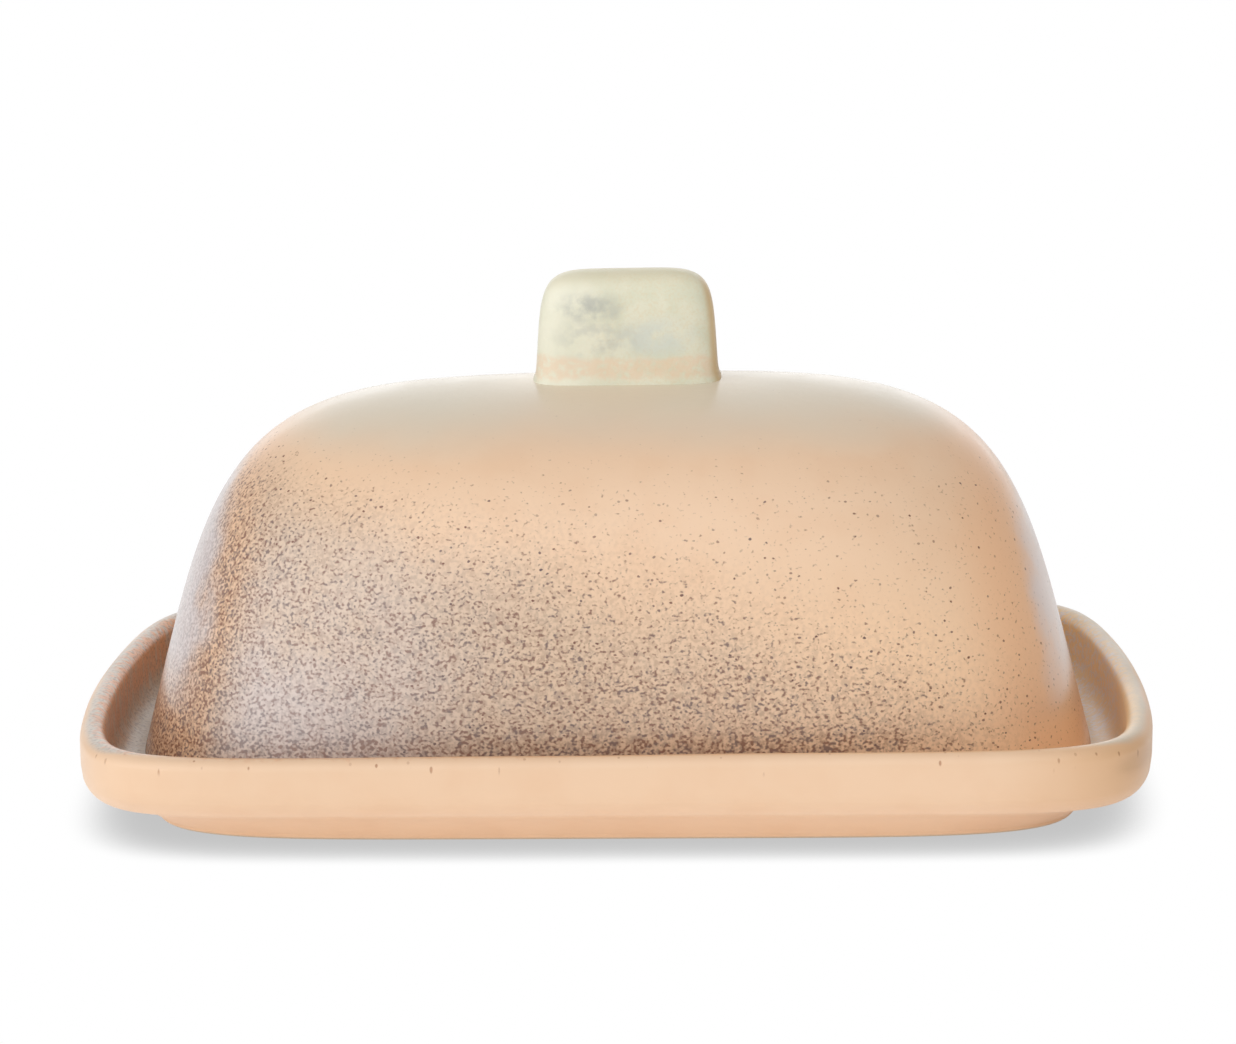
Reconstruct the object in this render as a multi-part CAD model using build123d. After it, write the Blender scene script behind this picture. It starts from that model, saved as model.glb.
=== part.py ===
from build123d import *
import math
import os

# A covered butter dish in glazed stoneware: a footed oblong tray, and a domed lid with a block
# knob, which stands loose on the tray's floor inside the rim.
#
# Frame: millimetres, +Z up, +X along the dish. The origin is the middle of the foot's underside.

# ---- Driving dimensions -------------------------------------------------------------------------

# Tray
TRAY_LENGTH = 200.0
TRAY_DEPTH = 125.0
TRAY_HEIGHT = 19.1
RIM_THICKNESS = 4.6
RIM_ROUND = 2.2  # on both edges of the rim, which leaves a thin flat between them
TRAY_FLOOR = 7.0  # height of the floor's upper face
WELL_FILLET = 4.4  # round between the floor and the inside of the wall
TRAY_SQUARENESS = 8.5
TRAY_END_BOW = 0.062

# Underside of the tray: it sweeps up from the foot to the wall as a quarter of an oval.
SWEEP_LENGTH = 11.6
SWEEP_DEPTH = 34.8
SWEEP_HEIGHT = 9.8
SWEEP_FULLNESS = 2.2

# Foot
FOOT_HEIGHT = 2.85
FOOT_LENGTH = 171.6
FOOT_DEPTH = 97.2
FOOT_SQUARENESS = 6.0
FOOT_EDGE_RADIUS = 1.0
FOOT_BLOCK = 6.0  # height of the block that the foot shows the lower part of

# Lid
LID_LENGTH = 180.8
LID_DEPTH = 105.0
LID_HEIGHT = 69.5
LID_WALL = 4.3
LID_EDGE_RADIUS = 1.4
LID_FORM = {
    "leans": (0.2, 0.12),
    "crown": 5.8,
    "rounding": (3.9, 1.8),
    "squareness": (4.0, 2.6),
    "end_bow": 0.08,
}

# Knob
KNOB_LENGTH = 35.0
KNOB_DEPTH = 15.2
KNOB_HEIGHT = 19.8  # above the crown of the lid
KNOB_ROOT = 3.0  # how far the block reaches down before the lid's crown is cut from it
KNOB_SHIFT = 2.4  # the knob was stuck on by hand, a little to the right of the middle
KNOB_FORM = {
    "leans": (0.08, 0.1),
    "crown": 9.0,
    "rounding": (6.5, 3.0),
    "squareness": (4.5, 4.0),
    "end_bow": 0.0,
}

# Points round each outline, and sections up each form. The spacing of a dome's sections is 1 when
# they are even, and they crowd towards the crown as it grows. The last section stops short of the
# crown by the crown gap, as a share of one step.
OUTLINE_POINTS = 48
SWEEP_SECTIONS = 5
DOME_SECTIONS = 14
CROWN_SPACING = 2.2
CROWN_GAP = 0.6


# ---- Outlines and domes -------------------------------------------------------------------------

def outline(half_length, half_depth, height, squareness, end_bow=0.0):
    """A level face shaped like a rectangle with soft corners and bowed ends.

    The squareness is 2 for an oval, and the corners tighten as it grows. The end bow is how much
    shorter the long sides are than the middle, as a share of the half length.
    """
    points = []
    for index in range(OUTLINE_POINTS):
        turn = 2 * math.pi * index / OUTLINE_POINTS
        along = math.cos(turn)
        across = math.sin(turn)
        reach = (abs(along) ** squareness + abs(across) ** squareness) ** (-1 / squareness)
        bow = 1 - end_bow * (across * reach) ** 2
        points.append((half_length * along * reach * bow, half_depth * across * reach, height))
    return make_face(Spline(*points, periodic=True))


class Dome:
    """A closed-topped form whose level sections shrink from its base to its crown.

    The leans are the shares of its length and of its depth that it loses by the crown to the
    slope of its sides. It also rounds over into the crown: the crown exponent says how late that
    starts, and the two roundings how tight it is, seen from the front and from the end. The
    squareness of its outline is given at the base and at the crown.
    """

    def __init__(self, length, depth, base, height, leans, crown, rounding, squareness, end_bow):
        self.half_length = length / 2
        self.half_depth = depth / 2
        self.base = base
        self.height = height
        self.leans = leans
        self.crown = crown
        self.rounding = rounding
        self.squareness = squareness
        self.end_bow = end_bow

    def section(self, rise):
        """The level face at a rise of 0, the base, to nearly 1, the crown."""
        closing = 1 - rise ** self.crown
        length_share = (1 - self.leans[0] * rise) * closing ** (1 / self.rounding[0])
        depth_share = (1 - self.leans[1] * rise) * closing ** (1 / self.rounding[1])
        return outline(
            self.half_length * length_share,
            self.half_depth * depth_share,
            self.base + self.height * rise,
            self.squareness[0] + (self.squareness[1] - self.squareness[0]) * rise,
            self.end_bow,
        )

    def solid(self):
        """The dome as one solid. It stops just short of the crown, which leaves a small flat."""
        last_step = DOME_SECTIONS + CROWN_GAP
        rises = [1 - (1 - index / last_step) ** CROWN_SPACING for index in range(DOME_SECTIONS + 1)]
        return loft([self.section(rise) for rise in rises])


# ---- Tray ---------------------------------------------------------------------------------------

def tray_outline(inset_length, inset_depth, height):
    """The tray's outline at a height, drawn in by an inset on each side."""
    return outline(
        TRAY_LENGTH / 2 - inset_length,
        TRAY_DEPTH / 2 - inset_depth,
        height,
        TRAY_SQUARENESS,
        TRAY_END_BOW,
    )


def tray_outside():
    """The tray's outer form: the swept underside, then the upright wall."""
    sections = []
    for index in range(SWEEP_SECTIONS + 1):
        angle = math.pi / 2 * index / SWEEP_SECTIONS
        inset = 1 - math.sin(angle) ** (2 / SWEEP_FULLNESS)
        rise = 1 - math.cos(angle) ** (2 / SWEEP_FULLNESS)
        sections.append(
            tray_outline(SWEEP_LENGTH * inset, SWEEP_DEPTH * inset, FOOT_HEIGHT + SWEEP_HEIGHT * rise)
        )
    sections.append(tray_outline(0, 0, TRAY_HEIGHT))
    return loft(sections)


def tray_well():
    """The hollow in the tray, upright at the wall and rounded into the floor."""
    sections = []
    for index in range(SWEEP_SECTIONS + 1):
        angle = math.pi / 2 * index / SWEEP_SECTIONS
        inset = RIM_THICKNESS + WELL_FILLET * (1 - math.sin(angle))
        sections.append(tray_outline(inset, inset, TRAY_FLOOR + WELL_FILLET * (1 - math.cos(angle))))
    sections.append(tray_outline(RIM_THICKNESS, RIM_THICKNESS, TRAY_HEIGHT))
    return loft(sections)


def foot():
    """The low foot, which reaches up into the tray's underside."""
    face = outline(FOOT_LENGTH / 2, FOOT_DEPTH / 2, 0, FOOT_SQUARENESS)
    block = extrude(face, FOOT_BLOCK, dir=(0, 0, 1))
    return fillet(block.edges().group_by(Axis.Z)[0], FOOT_EDGE_RADIUS)


def tray():
    """The tray in one piece: its wall and floor, the round of its rim, and its foot."""
    body = tray_outside() - tray_well()
    rim_edges = body.edges().group_by(Axis.Z)[-1]
    return fillet(rim_edges, RIM_ROUND) + foot()


# ---- Lid ----------------------------------------------------------------------------------------

def lid_dome(wall):
    """The lid's outer form, or the hollow inside it when a wall thickness is given."""
    return Dome(
        length=LID_LENGTH - 2 * wall,
        depth=LID_DEPTH - 2 * wall,
        base=TRAY_FLOOR,
        height=LID_HEIGHT - wall,
        **LID_FORM,
    )


def lid_shell():
    """The hollow lid, with its lower edge rounded inside and out."""
    shell = lid_dome(0).solid() - lid_dome(LID_WALL).solid()
    return fillet(shell.edges().group_by(Axis.Z)[0], LID_EDGE_RADIUS)


def knob():
    """The block knob, whose foot is cut to the lid's crown."""
    block = Dome(
        length=KNOB_LENGTH,
        depth=KNOB_DEPTH,
        base=TRAY_FLOOR + LID_HEIGHT - KNOB_ROOT,
        height=KNOB_HEIGHT + KNOB_ROOT,
        **KNOB_FORM,
    ).solid()
    return Pos(KNOB_SHIFT, 0, 0) * block - lid_dome(0).solid()


# ---- Files --------------------------------------------------------------------------------------

PARTS = {"tray": tray, "lid_shell": lid_shell, "knob": knob}

os.makedirs("parts", exist_ok=True)
for name, make in PARTS.items():
    export_step(make(), f"parts/{name}.step")
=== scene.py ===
import math

import bpy
import numpy as np
from mathutils import Matrix, Vector, noise


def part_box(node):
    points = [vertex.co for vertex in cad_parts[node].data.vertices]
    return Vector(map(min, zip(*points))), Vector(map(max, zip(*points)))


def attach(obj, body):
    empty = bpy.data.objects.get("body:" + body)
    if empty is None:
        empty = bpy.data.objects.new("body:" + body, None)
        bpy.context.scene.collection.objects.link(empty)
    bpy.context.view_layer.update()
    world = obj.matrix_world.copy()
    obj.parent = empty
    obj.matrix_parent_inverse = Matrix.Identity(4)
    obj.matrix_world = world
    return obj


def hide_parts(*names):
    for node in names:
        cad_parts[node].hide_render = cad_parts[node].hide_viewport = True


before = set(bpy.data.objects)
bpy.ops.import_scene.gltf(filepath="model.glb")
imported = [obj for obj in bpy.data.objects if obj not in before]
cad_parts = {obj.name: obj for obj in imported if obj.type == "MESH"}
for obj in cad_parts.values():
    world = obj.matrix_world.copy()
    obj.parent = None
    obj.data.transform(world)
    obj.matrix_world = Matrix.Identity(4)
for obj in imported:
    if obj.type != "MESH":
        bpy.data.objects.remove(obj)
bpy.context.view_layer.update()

# The looks of a covered butter dish in glazed stoneware. Each piece is a mesh made here, in the
# place and size of the CAD node that it replaces, with its own procedural glaze. Lengths are in
# metres, in the frame of the CAD model: +Z up, +X along the dish, and the front faces -Y.

MM = 0.001

# ---- Sizes ---------------------------------------------------------------------------------------

TRAY_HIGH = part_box("tray")[1]
LID_LOW, LID_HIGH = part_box("lid_shell")
KNOB_LOW, KNOB_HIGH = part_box("knob")

# Tray, with its foot and the sweep of its underside up to the wall. The sweep is how far it draws
# in along X and Y, and how high it rises.
TRAY_HALF = (TRAY_HIGH.x, TRAY_HIGH.y)
TRAY_TOP = TRAY_HIGH.z
TRAY_FLOOR = LID_LOW.z
TRAY_SQUARENESS = 8.5
TRAY_END_BOW = 0.062
RIM_RADIUS = 2.3 * MM
WELL_FILLET = 4.4 * MM
FOOT_HALF = (85.8 * MM, 48.6 * MM)
FOOT_HEIGHT = 2.85 * MM
FOOT_SQUARENESS = 6.0
FOOT_EDGE_RADIUS = 1.0 * MM
SWEEP = (11.6 * MM, 34.8 * MM, 9.8 * MM)
SWEEP_FULLNESS = 2.2
WALL_BOTTOM = FOOT_HEIGHT + SWEEP[2]
WALL_TOP = TRAY_TOP - RIM_RADIUS

# Lid
LID_HALF = (90.4 * MM, 52.5 * MM)
LID_WALL = 4.3 * MM
LID_EDGE_RADIUS = 1.4 * MM

# Knob, which stands this much higher than the CAD model's
KNOB_SHIFT = (KNOB_LOW.x + KNOB_HIGH.x) / 2
KNOB_HALF = (17.5 * MM, 7.6 * MM)
KNOB_STAND = 0.5 * MM

# The handmade look: the lid's crown leans a little to the right, and no surface is quite true. The
# wobble fades out within the margin of a height at which one thing rests on another. The lid and its
# knob share a seed, so that they stay together.
CROWN_LEAN = math.radians(0.5)
WOBBLE = 0.16 * MM
WOBBLE_WAVE = 34 * MM
REST_MARGIN = 2 * MM
TRAY_SEED = 1
LID_SEED = 2

# The front of the tray's rim is this much higher at its right end than at its middle, and as much
# lower at its left. The warp begins at a height on the wall.
RIM_WARP = 0.45 * MM
WARP_START = 12.7 * MM

# The bead of slip round the foot of the knob, and how far up the knob the crown's curve is felt. The
# block starts below the crown, and its mesh starts where the slip's root is.
SLIP_FLARE = 0.5 * MM
SLIP_HEIGHT = 0.8 * MM
SLIP_ROOT = 0.6 * MM
KNOB_ROOT = 3 * MM
KNOB_SETTLE = 8 * MM

# Mesh density, and the steps that find a height on a curved form. Rings crowd towards the crown of a
# form, and the last one stops just short of it.
RING_POINTS = 288
WALL_RINGS = 5
FOOT_WALL_RINGS = 7
SWEEP_RINGS = 40
SWEEP_CROWDING = 0.8
LID_INNER_RINGS = 60
LID_OUTER_RINGS = 110
KNOB_RINGS = 70
CROWN_CROWDING = 2.2
LAST_RISE = 0.985
HALVINGS = 22

# The angles of the rings that go round each small radius
FOOT_EDGE_ANGLES = np.radians(np.arange(15, 91, 15))
RIM_ANGLES = np.radians(np.arange(12, 180, 12))
FILLET_ANGLES = np.radians(np.arange(10, 91, 10))
LID_EDGE_ANGLES = np.radians(np.arange(0, 90, 15))

# The sizes of the rings that close a level face, as shares of its edge
UNDERSIDE_SHARES = (0.25, 0.5, 0.75, 0.95, 1)
FLOOR_SHARES = (0.97, 0.85, 0.65, 0.4, 0.2)

# The least half size of a section, where a form closes at its crown
LEAST_HALF = 1e-9

# The soft crease between the foot and the sweep: how many rings it takes in, and how often they ease
CREASE_RINGS = 30
CREASE_PASSES = 220


# ---- Outlines and skins --------------------------------------------------------------------------

def outline(half, squareness, end_bow=0.0):
    """The x and y of a rectangle with soft corners and bowed ends, as the CAD model has it."""
    turn = np.linspace(0, 2 * np.pi, RING_POINTS, endpoint=False)
    along = np.cos(turn)
    across = np.sin(turn)
    reach = (np.abs(along) ** squareness + np.abs(across) ** squareness) ** (-1 / squareness)
    x = half[0] * along * reach * (1 - end_bow * (across * reach) ** 2)
    y = half[1] * across * reach
    return x, y


def ring(half, height, squareness, end_bow=0.0):
    """A level ring of points."""
    x, y = outline(half, squareness, end_bow)
    return np.column_stack([x, y, np.full(RING_POINTS, height)])


def beyond(points, half, squareness, end_bow=0.0):
    """Whether each point lies outside an outline, in plan."""
    across = np.abs(points[:, 1]) / half[1]
    along = np.abs(points[:, 0]) / (half[0] * (1 - end_bow * np.minimum(across, 1) ** 2))
    return along ** squareness + across ** squareness > 1


def shrunk(points, share):
    """A ring drawn in towards its own middle, to close a level face."""
    middle = points.mean(axis=0)
    return middle + (points - middle) * share


def skin(name, rings, marks=None):
    """A closed mesh through a list of rings, with its first and last rings closed by a fan.

    The marks are one value for each ring, kept as the attribute "mark" for the material.
    """
    count = len(rings)
    points = np.concatenate([*rings, [rings[0].mean(axis=0), rings[-1].mean(axis=0)]])
    start_middle = count * RING_POINTS
    end_middle = start_middle + 1
    faces = []
    for level in range(count - 1):
        for index in range(RING_POINTS):
            after = (index + 1) % RING_POINTS
            low = level * RING_POINTS
            high = low + RING_POINTS
            faces.append((low + index, low + after, high + after, high + index))
    last = (count - 1) * RING_POINTS
    for index in range(RING_POINTS):
        after = (index + 1) % RING_POINTS
        faces.append((start_middle, after, index))
        faces.append((end_middle, last + index, last + after))
    mesh = bpy.data.meshes.new(name)
    mesh.from_pydata(points.tolist(), [], faces)
    mesh.shade_smooth()
    if marks is not None:
        values = np.repeat(np.array(marks, float), RING_POINTS)
        values = np.append(values, [marks[0], marks[-1]])
        mesh.attributes.new("mark", "FLOAT", "POINT").data.foreach_set("value", values)
    piece = bpy.data.objects.new(name, mesh)
    bpy.context.scene.collection.objects.link(piece)
    return piece


def freedom(heights):
    """How far each height is free to wobble, 0 to 1. It is 0 where one thing rests on another."""
    from_rest = np.minimum(np.abs(heights), np.abs(heights - TRAY_FLOOR))
    return np.minimum(from_rest / REST_MARGIN, 1)


def wobble(piece, amount, seed):
    """Moves each point a little along its normal, in slow waves, as in handmade ware."""
    mesh = piece.data
    offset = Vector((seed, seed * 2, seed * 3))
    points = np.empty(len(mesh.vertices) * 3)
    normals = np.empty(len(mesh.vertices) * 3)
    mesh.vertices.foreach_get("co", points)
    mesh.vertices.foreach_get("normal", normals)
    points = points.reshape(-1, 3)
    waves = [noise.noise(Vector(point) / WOBBLE_WAVE + offset) for point in points]
    moves = np.array(waves) * freedom(points[:, 2]) * amount
    points += normals.reshape(-1, 3) * moves[:, None]
    mesh.vertices.foreach_set("co", points.ravel())
    mesh.update()


# ---- The tray ------------------------------------------------------------------------------------

def tray_ring(inset, height):
    """A ring of the tray's outline, whose front rises a little to the right towards the rim."""
    half = (TRAY_HALF[0] - inset, TRAY_HALF[1] - inset)
    points = ring(half, height, TRAY_SQUARENESS, TRAY_END_BOW)
    share = max(height - WARP_START, 0) / (TRAY_TOP - WARP_START)
    to_front = np.maximum(-points[:, 1] / half[1], 0)
    points[:, 2] += RIM_WARP * share * to_front * np.sin(points[:, 0] / half[0] * np.pi / 2)
    return points


def foot_ring(inset, height):
    """A ring of the foot's outline."""
    half = (FOOT_HALF[0] - inset, FOOT_HALF[1] - inset)
    return ring(half, height, FOOT_SQUARENESS)


def sweep_height(points):
    """The height of the tray's swept underside at each point, found by halving."""
    wall_side = np.zeros(RING_POINTS)
    foot_side = np.ones(RING_POINTS)
    for _ in range(HALVINGS):
        middle = (wall_side + foot_side) / 2
        half = (TRAY_HALF[0] - SWEEP[0] * middle, TRAY_HALF[1] - SWEEP[1] * middle)
        outside = beyond(points, half, TRAY_SQUARENESS, TRAY_END_BOW)
        foot_side = np.where(outside, middle, foot_side)
        wall_side = np.where(outside, wall_side, middle)
    reach = 1 - wall_side
    return FOOT_HEIGHT + SWEEP[2] * (1 - (1 - reach ** SWEEP_FULLNESS) ** (1 / SWEEP_FULLNESS))


def soften(rings, first, last):
    """Eases the crease between two rings by letting each ring in that span follow its neighbours."""
    for _ in range(CREASE_PASSES):
        eased = [
            (rings[index - 1] + 2 * rings[index] + rings[index + 1]) / 4
            for index in range(first, last)
        ]
        rings[first:last] = eased


def underside_rings():
    """The rings from the middle of the underside up the foot and the sweep to the wall."""
    flat = foot_ring(FOOT_EDGE_RADIUS, 0)
    rings = [shrunk(flat, share) for share in UNDERSIDE_SHARES]
    for angle in FOOT_EDGE_ANGLES:
        inset = FOOT_EDGE_RADIUS * (1 - math.sin(angle))
        rings.append(foot_ring(inset, FOOT_EDGE_RADIUS * (1 - math.cos(angle))))
    foot_edge = rings[-1]
    first_eased = len(rings)
    crease = foot_ring(0, FOOT_HEIGHT)
    crease[:, 2] = sweep_height(crease)
    for share in np.linspace(0, 1, FOOT_WALL_RINGS)[1:-1]:
        rings.append(foot_edge + (crease - foot_edge) * share)
    wall = tray_ring(0, WALL_BOTTOM)
    for share in np.linspace(0, 1, SWEEP_RINGS) ** SWEEP_CROWDING:
        points = crease + (wall - crease) * share
        points[:, 2] = sweep_height(points)
        rings.append(points)
    soften(rings, first_eased, first_eased + CREASE_RINGS)
    return rings


def rim_rings():
    """The rings over the round rim, from the outside in."""
    rings = []
    for angle in RIM_ANGLES:
        inset = RIM_RADIUS * (1 - math.cos(angle))
        rings.append(tray_ring(inset, WALL_TOP + RIM_RADIUS * math.sin(angle)))
    return rings


def well_rings():
    """The rings from the rim down the inside of the wall to the middle of the floor."""
    wall_inset = 2 * RIM_RADIUS
    well_bottom = TRAY_FLOOR + WELL_FILLET
    heights = np.linspace(WALL_TOP, well_bottom, WALL_RINGS)
    rings = [tray_ring(wall_inset, height) for height in heights]
    for angle in FILLET_ANGLES:
        inset = wall_inset + WELL_FILLET * (1 - math.cos(angle))
        rings.append(tray_ring(inset, well_bottom - WELL_FILLET * math.sin(angle)))
    floor_edge = rings[-1]
    return rings + [shrunk(floor_edge, share) for share in FLOOR_SHARES]


def tray_piece():
    """The tray, from the middle of its underside out over the rim to the middle of its floor."""
    outer = underside_rings()
    heights = np.linspace(WALL_BOTTOM, WALL_TOP, WALL_RINGS)[1:]
    outer += [tray_ring(0, height) for height in heights]
    inner = well_rings()
    marks = [0] * len(outer) + list(RIM_ANGLES / math.pi) + [1] * len(inner)
    return skin("tray_glazed", outer + rim_rings() + inner, marks)


# ---- The lid -------------------------------------------------------------------------------------

class Dome:
    """A form whose level sections shrink from its base to its crown, as in the CAD model."""

    def __init__(self, half, base, height, leans, crown, rounding, squareness, end_bow):
        self.half = half
        self.base = base
        self.height = height
        self.leans = leans
        self.crown = crown
        self.rounding = rounding
        self.squareness = squareness
        self.end_bow = end_bow

    def section(self, rise):
        """The half sizes and the squareness at a rise of 0, the base, to 1, the crown."""
        closing = np.maximum(1 - rise ** self.crown, 0)
        half = [
            self.half[axis] * (1 - self.leans[axis] * rise) * closing ** (1 / self.rounding[axis])
            for axis in (0, 1)
        ]
        squareness = self.squareness[0] + (self.squareness[1] - self.squareness[0]) * rise
        return half, squareness

    def ring(self, rise, inset=0.0):
        """A level ring of the form, drawn in by the inset."""
        half, squareness = self.section(rise)
        inner_half = (half[0] - inset, half[1] - inset)
        return ring(inner_half, self.base + self.height * rise, squareness, self.end_bow)

    def height_at(self, points):
        """The height of the dome over each point, found by halving."""
        low = np.zeros(len(points))
        high = np.ones(len(points))
        for _ in range(HALVINGS):
            middle = (low + high) / 2
            half, squareness = self.section(middle)
            outside = beyond(points, np.maximum(half, LEAST_HALF), squareness, self.end_bow)
            high = np.where(outside, middle, high)
            low = np.where(outside, low, middle)
        return self.base + self.height * low


def crown_rises(first, count):
    """Rises from the first one to just under 1, crowded towards the crown."""
    steps = np.linspace(0, LAST_RISE, count)
    return first + (1 - first) * (1 - (1 - steps) ** CROWN_CROWDING)


def lid_dome(wall):
    """The lid's form, drawn in by a thickness of wall."""
    return Dome(
        half=(LID_HALF[0] - wall, LID_HALF[1] - wall),
        base=LID_LOW.z,
        height=LID_HIGH.z - LID_LOW.z - wall,
        leans=(0.2, 0.12),
        crown=5.8,
        rounding=(3.9, 1.8),
        squareness=(4.0, 2.6),
        end_bow=0.08,
    )


def lean(points):
    """Leans the lid to the right in proportion to height, so that its base stays level."""
    share = (points[:, 2] - LID_LOW.z) / (LID_HIGH.z - LID_LOW.z)
    points[:, 2] += math.tan(CROWN_LEAN) * points[:, 0] * share
    return points


def edge_rings(dome):
    """The rings that round the lower edge of a wall, from the bottom up."""
    rings = []
    for angle in LID_EDGE_ANGLES:
        height = LID_EDGE_RADIUS * (1 - math.cos(angle))
        inset = LID_EDGE_RADIUS * (1 - math.sin(angle))
        rings.append((height / dome.height, inset))
    return rings


def lid_piece():
    """The lid's shell, from the middle of its ceiling round the lower edge to the crown."""
    outside = lid_dome(0)
    inside = lid_dome(LID_WALL)
    inner = [inside.ring(rise, -inset) for rise, inset in edge_rings(inside)]
    inner_rises = crown_rises(LID_EDGE_RADIUS / inside.height, LID_INNER_RINGS)
    inner += [inside.ring(rise) for rise in inner_rises]
    outer = [outside.ring(rise, inset) for rise, inset in edge_rings(outside)]
    outer_rises = crown_rises(LID_EDGE_RADIUS / outside.height, LID_OUTER_RINGS)
    outer += [outside.ring(rise) for rise in outer_rises]
    rings = [lean(points) for points in inner[::-1] + outer]
    marks = [1] * len(inner) + [0] * len(outer)
    return skin("lid_glazed", rings, marks)


# ---- The knob ------------------------------------------------------------------------------------

def knob_piece():
    """The block knob, whose foot follows the lid's crown and flares out in a bead of slip."""
    crown = lid_dome(0)
    top_of_crown = LID_HIGH.z
    block = Dome(
        half=KNOB_HALF,
        base=top_of_crown - KNOB_ROOT,
        height=KNOB_HIGH.z + KNOB_STAND - top_of_crown + KNOB_ROOT,
        leans=(0.08, 0.1),
        crown=7.5,
        rounding=(5.2, 2.7),
        squareness=(4.5, 4.0),
        end_bow=0.0,
    )
    rings = []
    for rise in crown_rises((KNOB_ROOT - SLIP_ROOT) / block.height, KNOB_RINGS):
        above_crown = block.base + block.height * rise - top_of_crown
        flare = SLIP_FLARE * math.exp(-max(above_crown, 0) / SLIP_HEIGHT)
        points = block.ring(rise, -flare)
        points[:, 0] += KNOB_SHIFT
        follow = 1 - min(max(above_crown, 0) / KNOB_SETTLE, 1)
        points[:, 2] += (crown.height_at(points) - top_of_crown) * follow
        rings.append(lean(points))
    return skin("knob_glazed", rings)


# ---- Glazes --------------------------------------------------------------------------------------

# The middle of a spot, as a share of its radius, and the strength of the faintest spot
SPOT_CORE = 0.55
SPOT_FAINTEST = 0.3

# The unevenness of a patch's outline, and where it starts and ends, as shares of its half sizes
PATCH_RUFFLE = (0.7, 0.5)
PATCH_EDGE = (1.25, 0.25)

GLAZE_IOR = 1.5


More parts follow.
